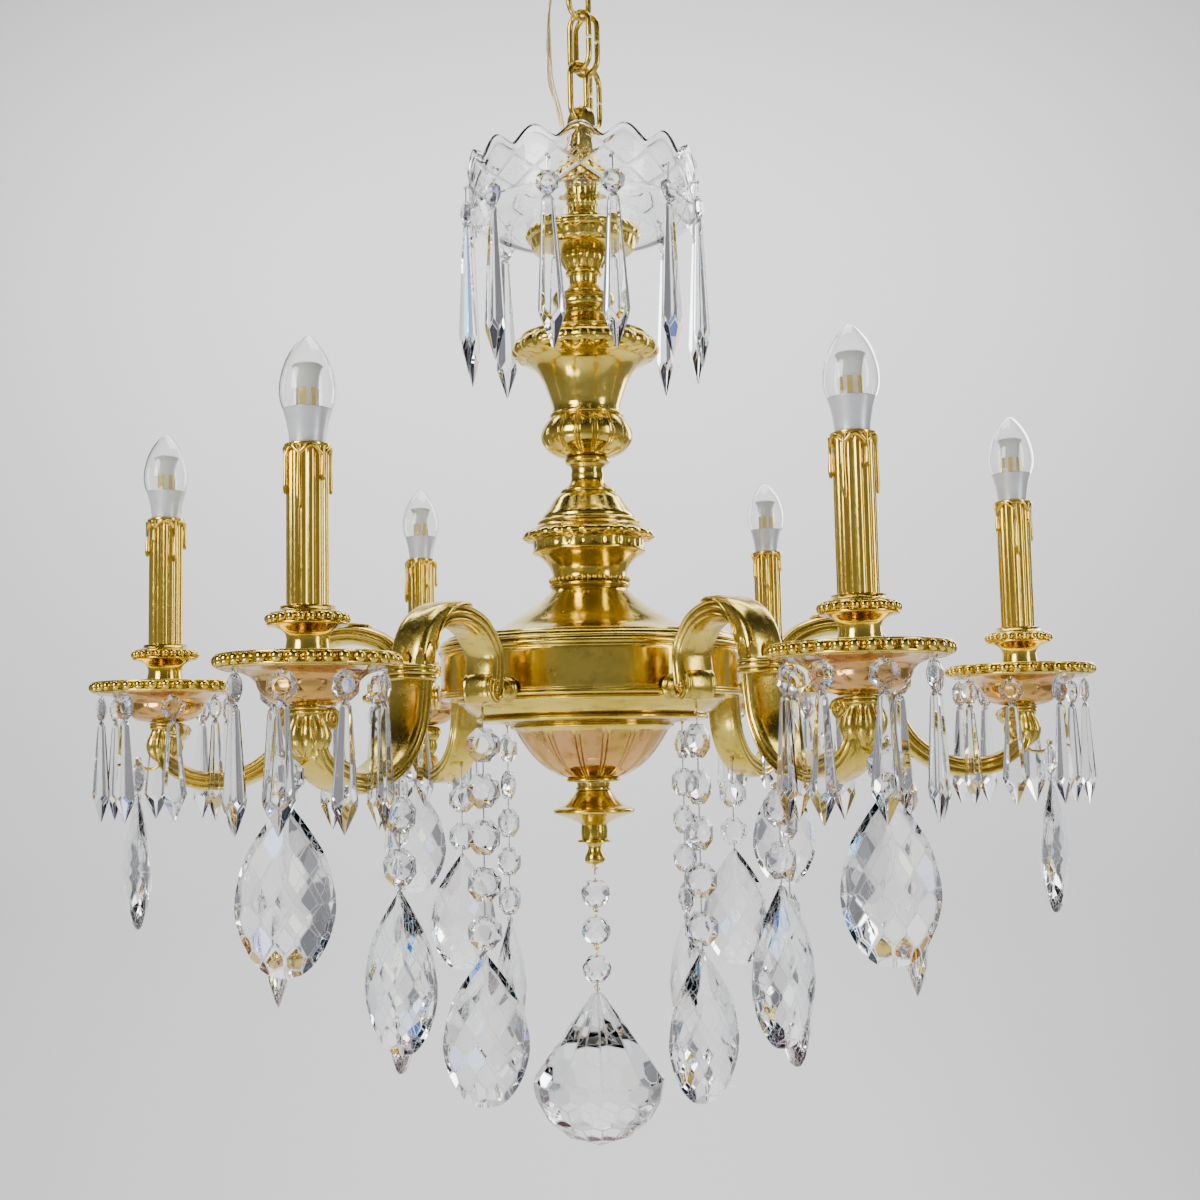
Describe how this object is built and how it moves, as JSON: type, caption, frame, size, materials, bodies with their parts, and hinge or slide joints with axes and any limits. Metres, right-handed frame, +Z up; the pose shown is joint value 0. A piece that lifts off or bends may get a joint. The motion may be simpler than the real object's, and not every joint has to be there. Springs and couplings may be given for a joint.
{
  "type": "chandelier",
  "caption": "Brass chandelier with scroll arms, candle bulbs over beaded drip pans, a glass crown and cut crystal drops, hung by a chain from a canopy.",
  "frame": {"origin": "centre of the hook plate's top face, which meets the ceiling", "axes": "+Z up, out of the ceiling face; +X along the first arm; the arms stand every 60 degrees about Z"},
  "size_m": [0.817, 0.7222, 1.041],
  "materials": {
    "brass": "polished",
    "gilt_sleeve": "satin gilt",
    "steel": "zinc plated",
    "crystal": "cut and polished",
    "bulb_glass": "clear",
    "clear_flex": "clear over tinned copper",
    "holder_plastic": "moulded"
  },
  "bodies": {
    "ceiling": {"hook_plate": "steel", "canopy": "brass"},
    "link_upper": {"chain_link_upper": "brass"},
    "link_middle": {"chain_link_middle": "brass"},
    "link_lower": {"chain_link_lower": "brass"},
    "fixture": {"supply_flex": "clear_flex", "hanging_loop": "brass", "tie_rod": "steel", "crown_cap": "brass", "glass_crown": "crystal", "upper_stem": "brass", "vase": "brass", "middle_stem": "brass", "hub_cover": "brass", "hub_drum": "brass", "hub_bowl": "brass", "finial": "brass", "arm_1": "brass", "drip_pan_1": "brass", "candle_cup_1": "brass", "lampholder_1": "holder_plastic", "candle_sleeve_1": "gilt_sleeve", "arm_2": "brass", "drip_pan_2": "brass", "candle_cup_2": "brass", "lampholder_2": "holder_plastic", "candle_sleeve_2": "gilt_sleeve", "arm_3": "brass", "drip_pan_3": "brass", "candle_cup_3": "brass", "lampholder_3": "holder_plastic", "candle_sleeve_3": "gilt_sleeve", "arm_4": "brass", "drip_pan_4": "brass", "candle_cup_4": "brass", "lampholder_4": "holder_plastic", "candle_sleeve_4": "gilt_sleeve", "arm_5": "brass", "drip_pan_5": "brass", "candle_cup_5": "brass", "lampholder_5": "holder_plastic", "candle_sleeve_5": "gilt_sleeve", "arm_6": "brass", "drip_pan_6": "brass", "candle_cup_6": "brass", "lampholder_6": "holder_plastic", "candle_sleeve_6": "gilt_sleeve"},
    "ball_pendant": {"ball_pendant": "crystal"},
    "bulb_1": {"bulb_1": "bulb_glass"},
    "bulb_2": {"bulb_2": "bulb_glass"},
    "bulb_3": {"bulb_3": "bulb_glass"},
    "bulb_4": {"bulb_4": "bulb_glass"},
    "bulb_5": {"bulb_5": "bulb_glass"},
    "bulb_6": {"bulb_6": "bulb_glass"},
    "inner_pendant_1": {"inner_pendant_1": "crystal"},
    "inner_pendant_2": {"inner_pendant_2": "crystal"},
    "inner_pendant_3": {"inner_pendant_3": "crystal"},
    "inner_pendant_4": {"inner_pendant_4": "crystal"},
    "inner_pendant_5": {"inner_pendant_5": "crystal"},
    "inner_pendant_6": {"inner_pendant_6": "crystal"}
  },
  "joints": [
    {"name": "chain_hook_swing", "type": "hinge", "parent": "ceiling", "child": "link_upper", "pos_m": [0, 0, -0.0647], "axis": [0.7071, -0.7071, 0], "range_deg": [-12, 12], "deforming": ["supply_flex"]},
    {"name": "upper_link_swing", "type": "hinge", "parent": "link_upper", "child": "link_middle", "pos_m": [0, 0, -0.1104], "axis": [0.7071, 0.7071, 0], "range_deg": [-12, 12]},
    {"name": "middle_link_swing", "type": "hinge", "parent": "link_middle", "child": "link_lower", "pos_m": [0, 0, -0.1561], "axis": [0.7071, -0.7071, 0], "range_deg": [-12, 12]},
    {"name": "fixture_swing", "type": "hinge", "parent": "link_lower", "child": "fixture", "pos_m": [0, 0, -0.2018], "axis": [0.7071, 0.7071, 0], "range_deg": [-12, 12]},
    {"name": "bulb_1_unscrew", "type": "hinge", "parent": "fixture", "child": "bulb_1", "pos_m": [0.35, 0, -0.5], "axis": [0, 0, 1], "continuous": true},
    {"name": "bulb_2_unscrew", "type": "hinge", "parent": "fixture", "child": "bulb_2", "pos_m": [0.175, 0.30311, -0.5], "axis": [0, 0, 1], "continuous": true},
    {"name": "bulb_3_unscrew", "type": "hinge", "parent": "fixture", "child": "bulb_3", "pos_m": [-0.175, 0.30311, -0.5], "axis": [0, 0, 1], "continuous": true},
    {"name": "bulb_4_unscrew", "type": "hinge", "parent": "fixture", "child": "bulb_4", "pos_m": [-0.35, 0, -0.5], "axis": [0, 0, 1], "continuous": true},
    {"name": "bulb_5_unscrew", "type": "hinge", "parent": "fixture", "child": "bulb_5", "pos_m": [-0.175, -0.30311, -0.5], "axis": [0, 0, 1], "continuous": true},
    {"name": "bulb_6_unscrew", "type": "hinge", "parent": "fixture", "child": "bulb_6", "pos_m": [0.175, -0.30311, -0.5], "axis": [0, 0, 1], "continuous": true},
    {"name": "inner_pendant_1_swing", "type": "hinge", "parent": "fixture", "child": "inner_pendant_1", "pos_m": [0.157, 0, -0.703], "axis": [0, 1, 0], "range_deg": [-20, 6]},
    {"name": "inner_pendant_2_swing", "type": "hinge", "parent": "fixture", "child": "inner_pendant_2", "pos_m": [0.0785, 0.13597, -0.703], "axis": [-0.866, 0.5, 0], "range_deg": [-20, 6]},
    {"name": "inner_pendant_3_swing", "type": "hinge", "parent": "fixture", "child": "inner_pendant_3", "pos_m": [-0.0785, 0.13597, -0.703], "axis": [-0.866, -0.5, 0], "range_deg": [-20, 6]},
    {"name": "inner_pendant_4_swing", "type": "hinge", "parent": "fixture", "child": "inner_pendant_4", "pos_m": [-0.157, 0, -0.703], "axis": [0, -1, 0], "range_deg": [-20, 6]},
    {"name": "inner_pendant_5_swing", "type": "hinge", "parent": "fixture", "child": "inner_pendant_5", "pos_m": [-0.0785, -0.13597, -0.703], "axis": [0.866, -0.5, 0], "range_deg": [-20, 6]},
    {"name": "inner_pendant_6_swing", "type": "hinge", "parent": "fixture", "child": "inner_pendant_6", "pos_m": [0.0785, -0.13597, -0.703], "axis": [0.866, 0.5, 0], "range_deg": [-20, 6]},
    {"name": "ball_pendant_swing", "type": "hinge", "parent": "fixture", "child": "ball_pendant", "pos_m": [0, 0, -0.824], "axis": [0, 1, 0], "range_deg": [-10, 10]}
  ]
}
